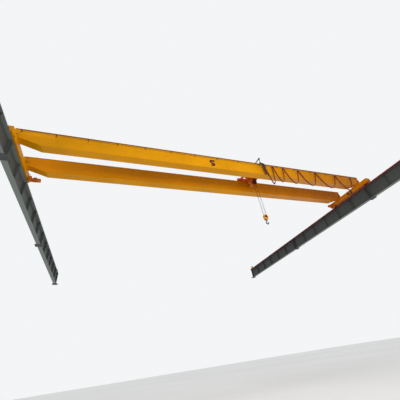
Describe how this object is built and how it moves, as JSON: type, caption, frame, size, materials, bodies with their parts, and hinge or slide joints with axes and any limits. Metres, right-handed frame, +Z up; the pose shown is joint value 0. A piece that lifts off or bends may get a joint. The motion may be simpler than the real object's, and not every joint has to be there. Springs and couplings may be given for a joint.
{
  "type": "overhead bridge crane",
  "caption": "Double-girder overhead travelling crane on its runway beams, with box girders, end trucks, a hoist trolley, a hook block and a festoon cable",
  "frame": {"origin": "centre of the underside of the left bearing plate at the second column line, which is the left_bearing mount", "axes": "+X runs along the span from the left rail to the right rail, +Y along the runway away from the camera, +Z up"},
  "size_m": [22.97, 27.42, 4.193],
  "materials": {
    "runway_paint": "satin dark grey paint",
    "plate_steel": "dark grey paint",
    "rail_steel": "rolled steel with a worn head",
    "bar_red": "dark red insulating housing",
    "stop_paint": "yellow paint",
    "crane_yellow": "orange-yellow gloss paint",
    "wheel_steel": "dark steel with worn treads",
    "drive_brown": "red-brown orange paint",
    "buffer_rubber": "black rubber",
    "track_zinc": "galvanised steel",
    "dark_arm": "dark brown-black paint",
    "hoist_red": "red-orange paint",
    "drum_steel": "machined steel under a film of grease",
    "block_yellow": "yellow-orange paint",
    "hook_black": "black forged steel",
    "rope_wire": "greased steel wire rope",
    "cable_sheath": "dark red-brown cable sheath"
  },
  "bodies": {
    "runway": {"left_runway_beam": "runway_paint", "right_runway_beam": "runway_paint", "bearing_plates": "plate_steel", "crane_rails": "rail_steel", "conductor_bar": "bar_red", "runway_stops": "stop_paint"},
    "bridge": {"near_girder_webs": "crane_yellow", "near_top_flange": "crane_yellow", "near_bottom_flange": "crane_yellow", "far_girder_webs": "crane_yellow", "far_top_flange": "crane_yellow", "far_bottom_flange": "crane_yellow", "trolley_rails": "rail_steel", "trolley_stops": "crane_yellow", "left_end_truck": "crane_yellow", "right_end_truck": "crane_yellow", "travel_wheels": "wheel_steel", "wheel_housings": "crane_yellow", "travel_gearboxes": "drive_brown", "travel_motors": "drive_brown", "truck_buffers": "buffer_rubber", "connection_gussets": "crane_yellow", "travel_switch": "drive_brown", "festoon_track": "track_zinc", "cable_clamp": "track_zinc", "current_collector": "dark_arm", "festoon_cable": "cable_sheath"},
    "trolley": {"trolley_frame": "hoist_red", "trolley_wheels": "wheel_steel", "trolley_drive": "drive_brown", "hoist_motor": "hoist_red", "hoist_gearbox": "hoist_red", "hoist_drum": "drum_steel", "drum_bearing": "hoist_red", "rope_anchor": "dark_arm", "tow_arm": "dark_arm", "hoist_ropes": "rope_wire"},
    "hook_block": {"hook_block_cheeks": "block_yellow", "hook_block_sheaves": "wheel_steel", "hook_crosshead": "wheel_steel"},
    "hook": {"lifting_hook": "hook_black"},
    "tow_carrier": {"tow_carrier": "dark_arm"},
    "festoon_carrier_1": {"festoon_carrier_1": "track_zinc"},
    "festoon_carrier_2": {"festoon_carrier_2": "track_zinc"},
    "festoon_carrier_3": {"festoon_carrier_3": "track_zinc"},
    "festoon_carrier_4": {"festoon_carrier_4": "track_zinc"},
    "festoon_carrier_5": {"festoon_carrier_5": "track_zinc"}
  },
  "joints": [
    {"name": "bridge_travel", "type": "slide", "parent": "runway", "child": "bridge", "axis": [0, 1, 0], "range_m": [-8.1, 14.2]},
    {"name": "trolley_travel", "type": "slide", "parent": "bridge", "child": "trolley", "axis": [1, 0, 0], "range_m": [-11.6, 6.4]},
    {"name": "hook_lift", "type": "slide", "parent": "trolley", "child": "hook_block", "axis": [0, 0, 1], "range_m": [-7.5, 1.6], "deforming": ["hoist_ropes"]},
    {"name": "hook_swivel", "type": "hinge", "parent": "hook_block", "child": "hook", "pos_m": [13.74, 1.44, -1.5], "axis": [0, 0, 1], "continuous": true},
    {"name": "festoon_carrier_5_slide", "type": "slide", "parent": "bridge", "child": "festoon_carrier_5", "axis": [1, 0, 0], "range_m": [-2.5576, 1.4116], "deforming": ["festoon_cable"]},
    {"name": "festoon_carrier_4_slide", "type": "slide", "parent": "festoon_carrier_5", "child": "festoon_carrier_4", "axis": [1, 0, 0], "range_m": [-2.9497, 1.6279]},
    {"name": "festoon_carrier_3_slide", "type": "slide", "parent": "festoon_carrier_4", "child": "festoon_carrier_3", "axis": [1, 0, 0], "range_m": [-2.4138, 1.3322]},
    {"name": "festoon_carrier_2_slide", "type": "slide", "parent": "festoon_carrier_3", "child": "festoon_carrier_2", "axis": [1, 0, 0], "range_m": [-1.8779, 1.0365]},
    {"name": "festoon_carrier_1_slide", "type": "slide", "parent": "festoon_carrier_2", "child": "festoon_carrier_1", "axis": [1, 0, 0], "range_m": [-1.1807, 0.6519]},
    {"name": "tow_carrier_slide", "type": "slide", "parent": "festoon_carrier_1", "child": "tow_carrier", "axis": [1, 0, 0], "range_m": [-0.6262, 0.346]}
  ],
  "couplings": [
    {"joint": "festoon_carrier_5_slide", "follows": "trolley_travel", "ratio": 0.2204},
    {"joint": "festoon_carrier_4_slide", "follows": "trolley_travel", "ratio": 0.2542},
    {"joint": "festoon_carrier_3_slide", "follows": "trolley_travel", "ratio": 0.208},
    {"joint": "festoon_carrier_2_slide", "follows": "trolley_travel", "ratio": 0.1618},
    {"joint": "festoon_carrier_1_slide", "follows": "trolley_travel", "ratio": 0.1017},
    {"joint": "tow_carrier_slide", "follows": "trolley_travel", "ratio": 0.0539}
  ]
}
